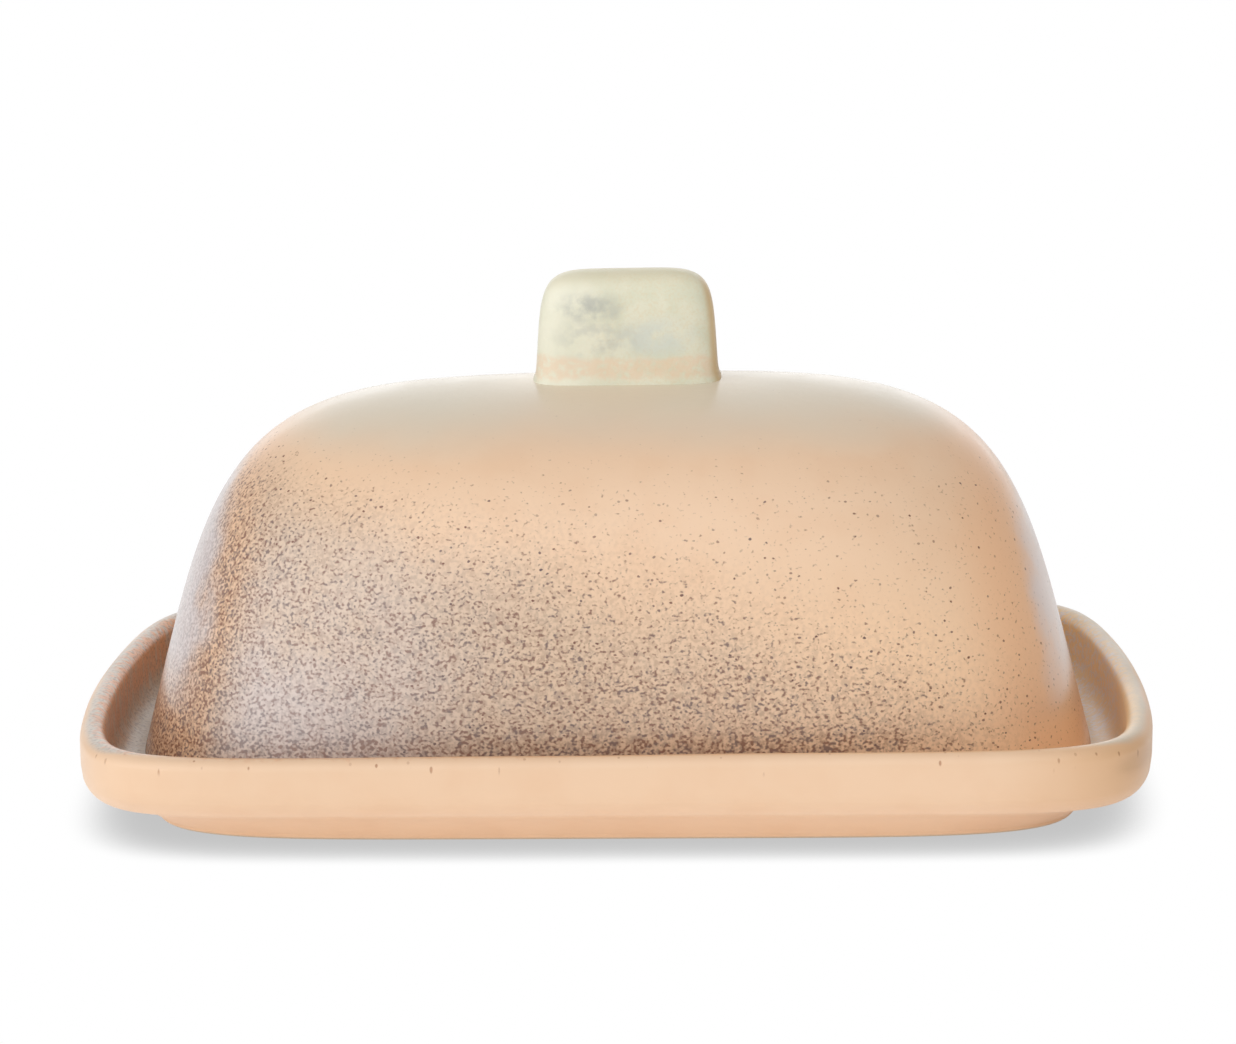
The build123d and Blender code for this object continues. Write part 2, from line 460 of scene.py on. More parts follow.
class Nodes:
    """Makes and joins the nodes of one material. Any value may be a number, a colour or an output."""

    def __init__(self, name, tree=None):
        if tree is None:
            self.material = bpy.data.materials.new(name)
            self.material.use_nodes = True
            tree = self.material.node_tree
        self.tree = tree
        self.tree.nodes.clear()

    def add(self, kind, inputs, **settings):
        node = self.tree.nodes.new(kind)
        for key, value in settings.items():
            setattr(node, key, value)
        for socket, value in inputs.items():
            if isinstance(value, bpy.types.NodeSocket):
                self.tree.links.new(value, node.inputs[socket])
            else:
                node.inputs[socket].default_value = value
        return node

    def math(self, operation, first, second=0.0, third=0.0):
        inputs = {0: first, 1: second, 2: third}
        return self.add("ShaderNodeMath", inputs, operation=operation).outputs[0]

    def both(self, first, second):
        """The product of two shares, which is high only where both are."""
        return self.math("MULTIPLY", first, second)

    def either(self, first, second):
        """The higher of two shares."""
        return self.math("MAXIMUM", first, second)

    def plus(self, first, second):
        return self.math("ADD", first, second)

    def less(self, first, second):
        return self.math("SUBTRACT", first, second)

    def scaled(self, value, scale, offset):
        """The value times the scale, plus the offset."""
        return self.math("MULTIPLY_ADD", value, scale, offset)

    def step(self, value, start, end, low=0.0, high=1.0):
        """A smooth step from low to high as the value goes from start to end."""
        inputs = {"Value": value, "From Min": start, "From Max": end, "To Min": low, "To Max": high}
        return self.add("ShaderNodeMapRange", inputs, interpolation_type="SMOOTHSTEP").outputs[0]

    def mix(self, share, first, second):
        inputs = {0: share, 6: first, 7: second}
        return self.add("ShaderNodeMix", inputs, data_type="RGBA").outputs[2]

    def noise(self, place, size, detail=2.0, roughness=0.5):
        """Noise with features of about this size in millimetres."""
        inputs = {"Vector": place, "Scale": 1 / size, "Detail": detail, "Roughness": roughness}
        return self.add("ShaderNodeTexNoise", inputs).outputs["Fac"]

    def ruffled(self, place, size, amount):
        """The place pushed about by up to half the amount, in waves of this size."""
        push = self.add("ShaderNodeTexNoise", {"Vector": place, "Scale": 1 / size}).outputs["Color"]
        inputs = {0: push, 1: (amount,) * 3, 2: place}
        return self.add("ShaderNodeVectorMath", inputs, operation="MULTIPLY_ADD").outputs[0]

    def spots(self, place, size, radius, share):
        """Round spots in this share of cells of this size. The radius is a share of the size.

        Gives how much each point is covered, from 0 to 1. Each spot has its own strength.
        """
        cells = self.add("ShaderNodeTexVoronoi", {"Vector": place, "Scale": 1 / size})
        chance, strength, _ = self.split(cells.outputs["Color"])
        inside = self.step(cells.outputs["Distance"], radius, radius * SPOT_CORE)
        present = self.math("LESS_THAN", chance, share)
        strength = self.scaled(strength, 1 - SPOT_FAINTEST, SPOT_FAINTEST)
        return self.both(self.both(inside, present), strength)

    def place(self, stretch=(1, 1, 1), shift=(0, 0, 0)):
        """The point on the piece in millimetres."""
        coords = self.add("ShaderNodeTexCoord", {}).outputs["Object"]
        scale = tuple(share / MM for share in stretch)
        vector = self.add("ShaderNodeMapping", {"Vector": coords, "Scale": scale, "Location": shift})
        return vector.outputs[0]

    def split(self, vector):
        """The x, y and z of a vector, or the red, green and blue of a colour."""
        node = self.add("ShaderNodeSeparateXYZ", {0: vector})
        return node.outputs[0], node.outputs[1], node.outputs[2]

    def facing(self):
        """How far the surface faces sideways, either way, and upwards, from 0 to 1."""
        normal = self.add("ShaderNodeTexCoord", {}).outputs["Normal"]
        sideways, _, upwards = self.split(normal)
        return self.math("ABSOLUTE", sideways), upwards

    def patch(self, x, z, half_x, half_z):
        """A soft oval patch on the front and back, 1 in its middle, with its sizes in millimetres."""
        stretch = (1 / half_x, 0, 1 / half_z)
        place = self.ruffled(self.place(stretch, (-x / half_x, 0, -z / half_z)), *PATCH_RUFFLE)
        away = self.add("ShaderNodeVectorMath", {0: place}, operation="LENGTH").outputs["Value"]
        return self.step(away, *PATCH_EDGE)

    def mark(self):
        return self.add("ShaderNodeAttribute", {}, attribute_name="mark").outputs["Fac"]

    def glaze(self, colour, roughness, height, relief):
        """The finished surface: a satin glaze with a fine relief, in millimetres."""
        bump = self.add(
            "ShaderNodeBump",
            {"Height": height, "Distance": relief * MM, "Strength": 1.0},
        )
        surface = self.add(
            "ShaderNodeBsdfPrincipled",
            {
                "Base Color": colour,
                "Roughness": roughness,
                "IOR": GLAZE_IOR,
                "Normal": bump.outputs[0],
            },
        )
        self.add("ShaderNodeOutputMaterial", {"Surface": surface.outputs[0]})
        return self.material


def rgb(red, green, blue):
    """A colour given as it looks on a screen, 0 to 255, as the linear values that nodes take."""
    return (*[((value / 255 + 0.055) / 1.055) ** 2.4 for value in (red, green, blue)], 1.0)


PEACH = rgb(238, 203, 170)
PEACH_DEEP = rgb(236, 199, 165)
# A lighter peach, painted light for the lower right of the lid
PEACH_PAINTED_LIGHT = rgb(252, 214, 176)
ORANGE = rgb(244, 190, 146)
TAN = rgb(219, 171, 122)
TAN_DEEP = rgb(186, 142, 98)
# Brown of the hairs on the tray, and of the painted shade on the lid's lower edge
BROWN_HAIRS_AND_SHADE = rgb(168, 112, 76)
BREAK_ORANGE = rgb(222, 168, 116)
# Cream of the crown, partly glaze and partly painted sheen
CROWN_CREAM_AND_SHEEN = rgb(219, 208, 188)
GREYED_PEACH = rgb(212, 188, 164)
SPECK_BROWN = rgb(108, 60, 50)
SPECK_MAUVE = rgb(86, 66, 74)
# Pale glaze of the veils and scribbles, and the colour of the painted sheen round the lid's ends
VEIL_AND_SHEEN = rgb(222, 213, 212)
WELL_BROWN = rgb(234, 172, 126)
WELL_TAN = rgb(240, 206, 156)
WELL_GREY = rgb(204, 192, 174)
RIM_GREY = rgb(212, 202, 190)
RIM_BEIGE = rgb(200, 180, 152)
KNOB_CREAM = rgb(229, 226, 203)
KNOB_GREEN = rgb(220, 219, 194)
KNOB_YELLOW = rgb(222, 204, 164)
KNOB_PALE = rgb(243, 241, 222)
# Tan of the painted shade on the knob's right side
KNOB_SHADE_TAN = rgb(222, 190, 138)
SMOKE_BLUE = rgb(168, 171, 165)
PALE_BLUE = rgb(206, 214, 208)
RAW_CLAY = rgb(206, 188, 164)

# In the names below, ACROSS, DEPTH and UP mean the x, y or z at which something starts and the one
# at which it is complete, either way round. FACING means the same for how far the surface faces
# sideways or up, and NOISE for the noise that breaks it up. SHARES are how strong it is where it
# starts and where it is complete, and MOST or LEAST is one of those alone. A PATCH is the x and z of
# its middle and its two half sizes. Places and sizes are in millimetres.

# The middle value of noise, and the detail of the finer and the plainer kinds
NOISE_MIDDLE = 0.5
FINE = 3
PLAIN = 1

# The noise over which peach deepens, and over which a glaze goes from smooth to less smooth
DEEP_NOISE = (0.4, 0.7)
ROUGH_NOISE = (0.3, 0.7)


# ---- The speckle ---------------------------------------------------------------------------------

SPECK_STRETCH = (0.9, 1, 1.1)

# Grain shows where its noise is over a level, which drops by this much as the share goes to 1. Its
# pair of noises is measured from that level.
GRAIN_SIZE = 0.6
GRAIN_DETAIL = 0.6
GRAIN_LEVEL = 0.66
GRAIN_DROP = 0.2
GRAIN_NOISE = (-0.02, 0.26)
GRAIN_STRENGTH = 0.82

# The blush is a fainter grain between the dark one, and its noise is shifted away from that one's.
BLUSH_SIZE = 0.8
BLUSH_SHIFT = (7, 3, 5)
BLUSH_NOISE = (0.38, 0.7)
BLUSH_STRENGTH = 0.36

# Drops have the size of their cells and a radius as a share of it. They come in from a share of the
# spray to a higher one, and fill at most a share of the cells. Their outlines are ruffled by waves
# of a size and an amount.
DROP_RUFFLE = (0.8, 0.5)
SMALL_DROP = (1.3, 0.24)
SMALL_DROP_START = (-0.2, 0.45)
SMALL_DROP_MOST = 0.65
LARGE_DROP = (3.4, 0.11)
LARGE_DROP_START = (-0.1, 0.6)
LARGE_DROP_MOST = 0.6

SPECK_TONE_SIZE = 2.4
SPECK_TONE_NOISE = (0.42, 0.62)


def speckle(nodes, share):
    """The sprayed specks of the lid and the well: how dark each point is, from 0 to 1.

    A fine soft grain covers more of the surface as the share goes from 0 to 1, with a faint blush
    between. Drops lie among it, and a few of them where the share is just under 0.
    """
    place = nodes.place(stretch=SPECK_STRETCH)
    level = nodes.scaled(share, -GRAIN_DROP, GRAIN_LEVEL)
    over = nodes.less(nodes.noise(place, GRAIN_SIZE, detail=GRAIN_DETAIL), level)
    grain = nodes.both(nodes.step(over, *GRAIN_NOISE), GRAIN_STRENGTH)
    blush = nodes.noise(nodes.place(shift=BLUSH_SHIFT), BLUSH_SIZE, detail=PLAIN)
    blush = nodes.both(nodes.step(blush, *BLUSH_NOISE), nodes.both(share, BLUSH_STRENGTH))
    grain = nodes.either(grain, blush)
    ruffled = nodes.ruffled(place, *DROP_RUFFLE)
    small_share = nodes.step(share, *SMALL_DROP_START, high=SMALL_DROP_MOST)
    small = nodes.spots(ruffled, *SMALL_DROP, small_share)
    large_share = nodes.step(share, *LARGE_DROP_START, high=LARGE_DROP_MOST)
    large = nodes.spots(ruffled, *LARGE_DROP, large_share)
    return nodes.either(grain, nodes.either(small, large))


def speck_tone(nodes, place):
    """The colour of the specks, which goes from warm to cool in small clusters."""
    cool = nodes.step(nodes.noise(place, SPECK_TONE_SIZE), *SPECK_TONE_NOISE)
    return nodes.mix(cool, SPECK_BROWN, SPECK_MAUVE)


# ---- The lid's glaze -----------------------------------------------------------------------------

LID_CLOUD_SIZE = 24
LID_MOTTLE_SIZE = 9
LID_ROUGHNESS = (0.2, 0.27)
LID_RELIEF = 0.03
LID_RELIEF_SIZE = 1.6
SPECK_SINK = 0.25

# A corner is where the lid turns to face sideways, ends included. The cloud breaks up its outline.
CORNER_CLOUD = 0.12
CORNER_FACING = (0.42, 0.78)

# The peach is lighter at the lower right, which is painted light, orange at the corners and darker
# orange towards the bottom, and brown on the edge that it rests on, which is partly painted shade
# where the lid sits down in the well.
PAINTED_LIGHT_ACROSS = (10, 60)
PAINTED_LIGHT_UP = (60, 25)
ORANGE_ACROSS = (-20, 20)
ORANGE_SHARES = (0.6, 0.7)
BREAK_UP = (25, 14)
BREAK_ACROSS = (90, 20)
BREAK_MOST = 0.4
# The brown on the lower edge is partly a glaze break and partly painted shade where the lid sits in
# the well.
EDGE_SHADE_UP = (10.5, 7.6)
EDGE_SHADE_MOST = 0.7

# The crown is cream, partly glaze and partly painted sheen, with a warmer patch in the middle of its
# front, below the knob, that is a painted reflection of the knob.
CROWN_CLOUD = 0.1
CROWN_FACING = (0.84, 1.06)
CROWN_KNOB_REFLECTION = (8, 72, 32, 8)
CROWN_KNOB_REFLECTION_MOST = 0.3

# The spray thins out above a line that slopes down to the right, and towards the right end. The line
# has a height in the middle of the dish, and SPRAY_UP is measured from it. The spray is denser at
# the corners and along the bottom, and is taken off the crown. Along the bottom the denser specks are
# partly painted shade, where the lid meets the tray's rim.
SPRAY_HEIGHT = 25
SPRAY_SLOPE = -0.265
SPRAY_CLOUD = 12
SPRAY_UP = (38, 2)
SPRAY_ACROSS = (86, 44)
DENSE_AND_SHADE_UP = (23, 17)
DENSE_GAIN = 0.3
CLEAR_UP = (58, 74)
CLEAR_LOSS = 0.6

# The peach is greyed under the spray, less so at a corner and at the right. The first pair is of
# shares of the corner, and the second of the spray.
GREY_CORNER = (1, 0.2)
GREY_CORNER_LEAST = 0.5
GREY_SPRAY = (0.2, 0.9)
GREY_ACROSS = (45, -45)
GREY_SHARES = (0.3, 0.8)

# The veil over the front lies at the left. The pale band round each end is painted sheen, a
# reflection of the white backdrop where the lid turns away, and is stronger at the left.
VEIL_ACROSS = (-5, -66)
VEIL_UP = (64, 28)
VEIL_FACING = (0.68, 0.4)
VEIL_SIZE = 15
VEIL_NOISE = (0.1, 0.7)
VEIL_MOST = 0.75
END_ACROSS = (0, -60)
END_WIDENING = 0.09
END_SIZE = 12
END_RAGGEDNESS = 0.3
END_FACING = (0.9, 1.08)
END_UP = (16, 31)
END_SHARES = (0.78, 0.95)

# How strong the specks are, how much of that the veil and the painted sheen hide, and the share of
# that for the front veil
SPECK_STRENGTH = 0.95
VEIL_AND_SHEEN_HIDE = 0.6
FRONT_VEIL_SHARE = 0.4


def lid_peach(nodes, x, z, upwards, cloud, mottle, corner):
    """The lid's glaze under the spray: peach that breaks to orange, with painted light at the lower
    right, a cream crown that is partly painted sheen, and a painted reflection of the knob.
    """
    colour = nodes.mix(nodes.step(mottle, *DEEP_NOISE), PEACH, PEACH_DEEP)
    # Painted light: the peach is made lighter at the lower right of the lid.
    light = nodes.both(nodes.step(x, *PAINTED_LIGHT_ACROSS), nodes.step(z, *PAINTED_LIGHT_UP))
    colour = nodes.mix(light, colour, PEACH_PAINTED_LIGHT)
    orange = nodes.both(corner, nodes.step(x, *ORANGE_ACROSS, *ORANGE_SHARES))
    colour = nodes.mix(orange, colour, ORANGE)
    broken = nodes.both(nodes.step(z, *BREAK_UP), nodes.step(x, *BREAK_ACROSS, high=BREAK_MOST))
    colour = nodes.mix(broken, colour, BREAK_ORANGE)
    # The cream on the upward-facing crown is partly painted sheen.
    crown = nodes.step(nodes.scaled(cloud, CROWN_CLOUD, upwards), *CROWN_FACING)
    colour = nodes.mix(crown, colour, CROWN_CREAM_AND_SHEEN)
    # Painted reflection of the knob on the crown below it
    return nodes.mix(nodes.both(nodes.patch(*CROWN_KNOB_REFLECTION), CROWN_KNOB_REFLECTION_MOST), colour, PEACH_DEEP)


def lid_spray(nodes, x, z, cloud):
    """How much spray reaches each point of the lid, 0 to 1."""
    line = nodes.scaled(x, SPRAY_SLOPE, SPRAY_HEIGHT)
    above = nodes.less(z, line)
    above = nodes.scaled(nodes.less(cloud, NOISE_MIDDLE), SPRAY_CLOUD, above)
    return nodes.both(nodes.step(above, *SPRAY_UP), nodes.step(x, *SPRAY_ACROSS))


def lid_specks(nodes, z, spray, corner):
    """How dark the specks make each point of the lid, 0 to 1."""
    # Along the bottom the denser specks are partly painted shade where the lid meets the rim.
    denser = nodes.either(corner, nodes.step(z, *DENSE_AND_SHADE_UP))
    dense = nodes.scaled(nodes.both(spray, denser), DENSE_GAIN, spray)
    return speckle(nodes, nodes.less(dense, nodes.step(z, *CLEAR_UP, high=CLEAR_LOSS)))


def lid_front_veil(nodes, place, x, z, sideways):
    """The pale veil over the left of the front, 0 to 1."""
    veil = nodes.both(nodes.step(x, *VEIL_ACROSS), nodes.step(z, *VEIL_UP))
    veil = nodes.both(veil, nodes.step(sideways, *VEIL_FACING))
    return nodes.both(veil, nodes.step(nodes.noise(place, VEIL_SIZE, detail=FINE), *VEIL_NOISE))


def lid_end_sheen(nodes, place, x, z, sideways):
    """The painted sheen round each end, a reflection of the white backdrop, 0 to 1, which is a little
    wider at the left.
    """
    turned = nodes.plus(sideways, nodes.step(x, *END_ACROSS, high=END_WIDENING))
    turned = nodes.scaled(nodes.noise(place, END_SIZE, detail=FINE), END_RAGGEDNESS, turned)
    end = nodes.both(nodes.step(turned, *END_FACING), nodes.step(z, *END_UP))
    return nodes.both(end, nodes.step(x, *END_ACROSS, *END_SHARES))


def lid_glaze():
    """Peach, sprayed from the lower left with dark specks and a pale veil, and cream at the crown,
    with painted sheen round the ends and on the crown, painted light at the lower right and painted
    shade along the bottom.
    """
    nodes = Nodes("lid_glaze")
    place = nodes.place()
    x, _, z = nodes.split(place)
    sideways, upwards = nodes.facing()
    cloud = nodes.noise(place, LID_CLOUD_SIZE, detail=FINE)
    mottle = nodes.noise(place, LID_MOTTLE_SIZE, detail=FINE)
    corner = nodes.step(nodes.scaled(cloud, CORNER_CLOUD, sideways), *CORNER_FACING)
    peach = lid_peach(nodes, x, z, upwards, cloud, mottle, corner)
    spray = lid_spray(nodes, x, z, cloud)
    specks = lid_specks(nodes, z, spray, corner)

    flat = nodes.step(corner, *GREY_CORNER, low=GREY_CORNER_LEAST)
    grey = nodes.both(nodes.step(spray, *GREY_SPRAY), flat)
    grey = nodes.both(grey, nodes.step(x, *GREY_ACROSS, *GREY_SHARES))
    greyed = nodes.mix(grey, peach, GREYED_PEACH)

    front = lid_front_veil(nodes, place, x, z, sideways)
    # The band round each end is painted sheen, a reflection of the white backdrop.
    end = lid_end_sheen(nodes, place, x, z, sideways)
    with_veil_and_sheen = nodes.mix(nodes.either(nodes.both(front, VEIL_MOST), end), greyed, VEIL_AND_SHEEN)
    hidden = nodes.either(nodes.both(front, FRONT_VEIL_SHARE), end)
    strength = nodes.both(specks, nodes.scaled(hidden, -VEIL_AND_SHEEN_HIDE, SPECK_STRENGTH))
    colour = nodes.mix(strength, with_veil_and_sheen, speck_tone(nodes, place))
    # Partly painted shade on the lower edge, where the lid sits down in the tray's well
    edge_shade = nodes.step(z, *EDGE_SHADE_UP)
    colour = nodes.mix(nodes.both(edge_shade, EDGE_SHADE_MOST), colour, BROWN_HAIRS_AND_SHADE)

    roughness = nodes.step(mottle, *ROUGH_NOISE, *LID_ROUGHNESS)
    relief = nodes.scaled(specks, -SPECK_SINK, nodes.noise(place, LID_RELIEF_SIZE))
    return nodes.glaze(colour, roughness, relief, LID_RELIEF)


# ---- The tray's glaze ----------------------------------------------------------------------------

TRAY_CLOUD_SIZE = 16
TRAY_MOTTLE_SIZE = 12
TRAY_ROUGHNESS = (0.31, 0.37)
TRAY_RELIEF = 0.02
TRAY_RELIEF_SIZE = 2.2
BARE_UP = (0.7, 0.2)
BARE_ROUGHNESS = 0.85

# Outside, it turns tan at the right end, with a smear there. Short brown hairs hang from the rim.
TAN_ACROSS = (62, 98)
TAN_MOST = 0.75
SMEAR_PATCH = (95, 16, 6, 2.6)
SMEAR_MOST = 0.4
HAIR_STRETCH = (1, 1, 0.3)
HAIR = (2.0, 0.17)
HAIR_SHARE = 0.6
HAIR_UP = (15.5, 17)
HAIR_MOST = 0.75

# The wall of the well is brown, and tan to the right. Its floor is grey, most of all at the left, and
# the cloud moves the height at which that starts.
WELL_TAN_ACROSS = (-40, 60)
FLOOR_CLOUD = 6
FLOOR_UP = (16, 10)
FLOOR_ACROSS = (60, -40)
FLOOR_LEAST = 0.4

# Pale streaks run down the wall of the well, and pale scribbles lie at the back of its right end.
STREAK_STRETCH = (1, 1, 0.22)
STREAK_SIZE = 1.5
STREAK_NOISE_ROUGHNESS = 0.6
STREAK_NOISE = (0.48, 0.6)
STREAK_ACROSS = (40, -40)
STREAK_SHARES = (0.2, 0.6)
SCRIBBLE_SIZE = 1.8
SCRIBBLE_NOISE = (0.08, 0.03)
SCRIBBLE_ACROSS = (60, 84)
SCRIBBLE_DEPTH = (-20, 5)
SCRIBBLE_MOST = 0.9

# The specks of the well and the rim, which are stronger at the left
WELL_SPRAY = 0.9
WELL_SPECK_ACROSS = (50, -40)
WELL_SPECK_LEAST = 0.15
WELL_SPECK_STRENGTH = 0.55
RIM_SPECK_STRENGTH = 0.4

# The mark goes from 0 outside over the rim to 1 in the well. The rim's grey starts at a mark, and
# later at the front, and the well's glaze starts at another, with an edge that the streaks ruffle.
# Each is complete some way on. At the front, it breaks to orange from the crest of the rim inwards.
FRONT_DEPTH = (-52, -60)
RIM_BEIGE_ACROSS = (60, 95)
RIM_BEIGE_MOST = 0.8
RIM_START = 0.05
RIM_START_CLOUD = 0.3
RIM_START_FRONT = 0.3
RIM_WIDTH = 0.25
WELL_START = 0.35
WELL_START_ACROSS = (60, -60)
WELL_START_SHARES = (0.25, 0.9)
WELL_WIDTH = 0.5
CREST = (0.4, 0.56)
CREST_MOST = 0.6


def tray_outside(nodes, x, z, mottle):
    """The peach outside of the tray, tan at the right end."""
    colour = nodes.mix(nodes.step(mottle, *DEEP_NOISE), PEACH, PEACH_DEEP)
    colour = nodes.mix(nodes.both(nodes.step(x, *TAN_ACROSS), TAN_MOST), colour, TAN)
    colour = nodes.mix(nodes.both(nodes.patch(*SMEAR_PATCH), SMEAR_MOST), colour, TAN_DEEP)
    hairs = nodes.spots(nodes.place(stretch=HAIR_STRETCH), *HAIR, HAIR_SHARE)
    hairs = nodes.both(hairs, nodes.step(z, *HAIR_UP))
    return nodes.mix(nodes.both(hairs, HAIR_MOST), colour, BROWN_HAIRS_AND_SHADE)


def tray_well(nodes, place, cloud, streaks, specks):
    """The inside of the tray: brown and grey, with pale streaks and scribbles under its specks."""
    x, y, z = nodes.split(place)
    low = nodes.scaled(cloud, FLOOR_CLOUD, z)
    colour = nodes.mix(nodes.step(x, *WELL_TAN_ACROSS), WELL_BROWN, WELL_TAN)
    on_floor = nodes.both(nodes.step(low, *FLOOR_UP), nodes.step(x, *FLOOR_ACROSS, low=FLOOR_LEAST))
    colour = nodes.mix(on_floor, colour, WELL_GREY)
    streaked = nodes.step(x, *STREAK_ACROSS, *STREAK_SHARES)
    streaked = nodes.both(nodes.step(streaks, *STREAK_NOISE), streaked)
    colour = nodes.mix(streaked, colour, RIM_GREY)
    away = nodes.less(nodes.noise(place, SCRIBBLE_SIZE, detail=PLAIN), NOISE_MIDDLE)
    scribble = nodes.step(nodes.math("ABSOLUTE", away), *SCRIBBLE_NOISE)
    scribble = nodes.both(scribble, nodes.step(x, *SCRIBBLE_ACROSS))
    scribble = nodes.both(scribble, nodes.step(y, *SCRIBBLE_DEPTH))
    colour = nodes.mix(nodes.both(scribble, SCRIBBLE_MOST), colour, VEIL_AND_SHEEN)
    return nodes.mix(nodes.both(specks, WELL_SPECK_STRENGTH), colour, speck_tone(nodes, place))


def tray_rim(nodes, x, specks):
    """The grey line of the rim, beige to the right and lightly specked."""
    colour = nodes.mix(nodes.step(x, *RIM_BEIGE_ACROSS, high=RIM_BEIGE_MOST), RIM_GREY, RIM_BEIGE)
    return nodes.mix(nodes.both(specks, RIM_SPECK_STRENGTH), colour, SPECK_BROWN)


def tray_glaze():
    """Peach outside and over the front of the rim, brown, grey and specked in the well."""
    nodes = Nodes("tray_glaze")
    place = nodes.place()
    x, y, z = nodes.split(place)
    mottle = nodes.noise(place, TRAY_MOTTLE_SIZE, detail=FINE)
    cloud = nodes.noise(place, TRAY_CLOUD_SIZE, detail=FINE)
    mark = nodes.mark()
    stretched = nodes.place(stretch=STREAK_STRETCH)
    streaks = nodes.noise(stretched, STREAK_SIZE, FINE, STREAK_NOISE_ROUGHNESS)
    specks = speckle(nodes, WELL_SPRAY)
    specks = nodes.both(specks, nodes.step(x, *WELL_SPECK_ACROSS, low=WELL_SPECK_LEAST))

    # The rim is grey where the two glazes meet, but at the front the peach runs right over it.
    front = nodes.step(y, *FRONT_DEPTH)
    start = nodes.scaled(cloud, RIM_START_CLOUD, RIM_START)
    start = nodes.scaled(front, RIM_START_FRONT, start)
    rim_share = nodes.step(nodes.less(mark, start), 0.0, RIM_WIDTH)
    colour = nodes.mix(rim_share, tray_outside(nodes, x, z, mottle), tray_rim(nodes, x, specks))

    ragged = nodes.step(x, *WELL_START_ACROSS, *WELL_START_SHARES)
    ragged = nodes.both(nodes.less(streaks, NOISE_MIDDLE), ragged)
    start = nodes.plus(ragged, WELL_START)
    well_share = nodes.step(nodes.less(mark, start), 0.0, WELL_WIDTH)
    colour = nodes.mix(well_share, colour, tray_well(nodes, place, cloud, streaks, specks))

    crest = nodes.both(nodes.step(mark, *CREST), front)
    colour = nodes.mix(nodes.both(crest, CREST_MOST), colour, BREAK_ORANGE)
    bare = nodes.step(z, *BARE_UP)
    colour = nodes.mix(bare, colour, RAW_CLAY)
    roughness = nodes.step(mottle, *ROUGH_NOISE, *TRAY_ROUGHNESS)
    roughness = nodes.either(roughness, nodes.both(bare, BARE_ROUGHNESS))
    return nodes.glaze(colour, roughness, nodes.noise(place, TRAY_RELIEF_SIZE), TRAY_RELIEF)


# ---- The knob's glaze ----------------------------------------------------------------------------

KNOB_ROUGHNESS = 0.45
KNOB_RELIEF = 0.05
KNOB_RELIEF_SIZE = 0.8

# Cream and greenish cream in clouds, with a yellow grain to the right, and paler to the left
KNOB_CLOUD_SIZE = 5
KNOB_CLOUD_NOISE = (0.35, 0.65)
KNOB_GRAIN_SIZE = 0.5
KNOB_GRAIN_NOISE = (0.4, 0.75)
KNOB_GRAIN_ACROSS = (-16, 10)
KNOB_GRAIN_SHARES = (0.1, 0.35)
KNOB_PALE_ACROSS = (2, -10)
KNOB_PALE_MOST = 0.5

# The smudges, each a patch, its strength, and the size and edge of the noise that breaks it up
BLUE_PATCH = (10.3, 85.6, 9, 4.5)
BLUE_MOST = 0.55
BLUE_SIZE = 4
BLUE_NOISE = (0.3, 0.6)
HAZE_PATCH = (-0.5, 86, 10, 5)
HAZE_MOST = 0.36
HAZE_SIZE = 3
HAZE_NOISE = (0.4, 0.65)
SMUDGE_PATCH = (-2.4, 91, 8, 3.4)
SMUDGE_MOST = 0.68
SMUDGE_SIZE = 2.6
SMUDGE_NOISE_ROUGHNESS = 0.55
SMUDGE_NOISE = (0.25, 0.7)

# The warm band at the foot, with wavy edges, then the yellower top and the tan right edge, which is
# painted shade on the side turned from the light
BAND_WAVE_SIZE = 4
BAND_WAVE = 2.4
BAND_TOP_UP = (82.8, 81.4)
BAND_FOOT_UP = (77.4, 79.0)
BAND_SIZE = 1.4
BAND_NOISE = (0.2, 0.6)
BAND_MOST = 0.5
TOP_FACING = (0.3, 0.9)
TOP_MOST = 0.3
RIGHT_FACING = (0.45, 0.9)
RIGHT_ACROSS = (-2, 8)
RIGHT_MOST = 0.9


def knob_cream(nodes, place, x):
    """The knob's glaze under its smudges."""
    cloud = nodes.step(nodes.noise(place, KNOB_CLOUD_SIZE, detail=FINE), *KNOB_CLOUD_NOISE)
    colour = nodes.mix(cloud, KNOB_CREAM, KNOB_GREEN)
    grain = nodes.step(nodes.noise(place, KNOB_GRAIN_SIZE), *KNOB_GRAIN_NOISE)
    grain = nodes.both(grain, nodes.step(x, *KNOB_GRAIN_ACROSS, *KNOB_GRAIN_SHARES))
    colour = nodes.mix(grain, colour, KNOB_YELLOW)
    return nodes.mix(nodes.step(x, *KNOB_PALE_ACROSS, high=KNOB_PALE_MOST), colour, KNOB_PALE)


def knob_smudges(nodes, place, colour):
    """Adds a pale blue patch at the right and smoke-blue ones at the left to a colour."""
    broken = nodes.step(nodes.noise(place, BLUE_SIZE), *BLUE_NOISE)
    blue = nodes.both(nodes.patch(*BLUE_PATCH), broken)
    colour = nodes.mix(nodes.both(blue, BLUE_MOST), colour, PALE_BLUE)
    broken = nodes.step(nodes.noise(place, HAZE_SIZE, detail=FINE), *HAZE_NOISE)
    haze = nodes.both(nodes.both(nodes.patch(*HAZE_PATCH), HAZE_MOST), broken)
    broken = nodes.noise(place, SMUDGE_SIZE, FINE, SMUDGE_NOISE_ROUGHNESS)
    broken = nodes.step(broken, *SMUDGE_NOISE)
    smudge = nodes.both(nodes.both(nodes.patch(*SMUDGE_PATCH), SMUDGE_MOST), broken)
    return nodes.mix(nodes.either(smudge, haze), colour, SMOKE_BLUE)


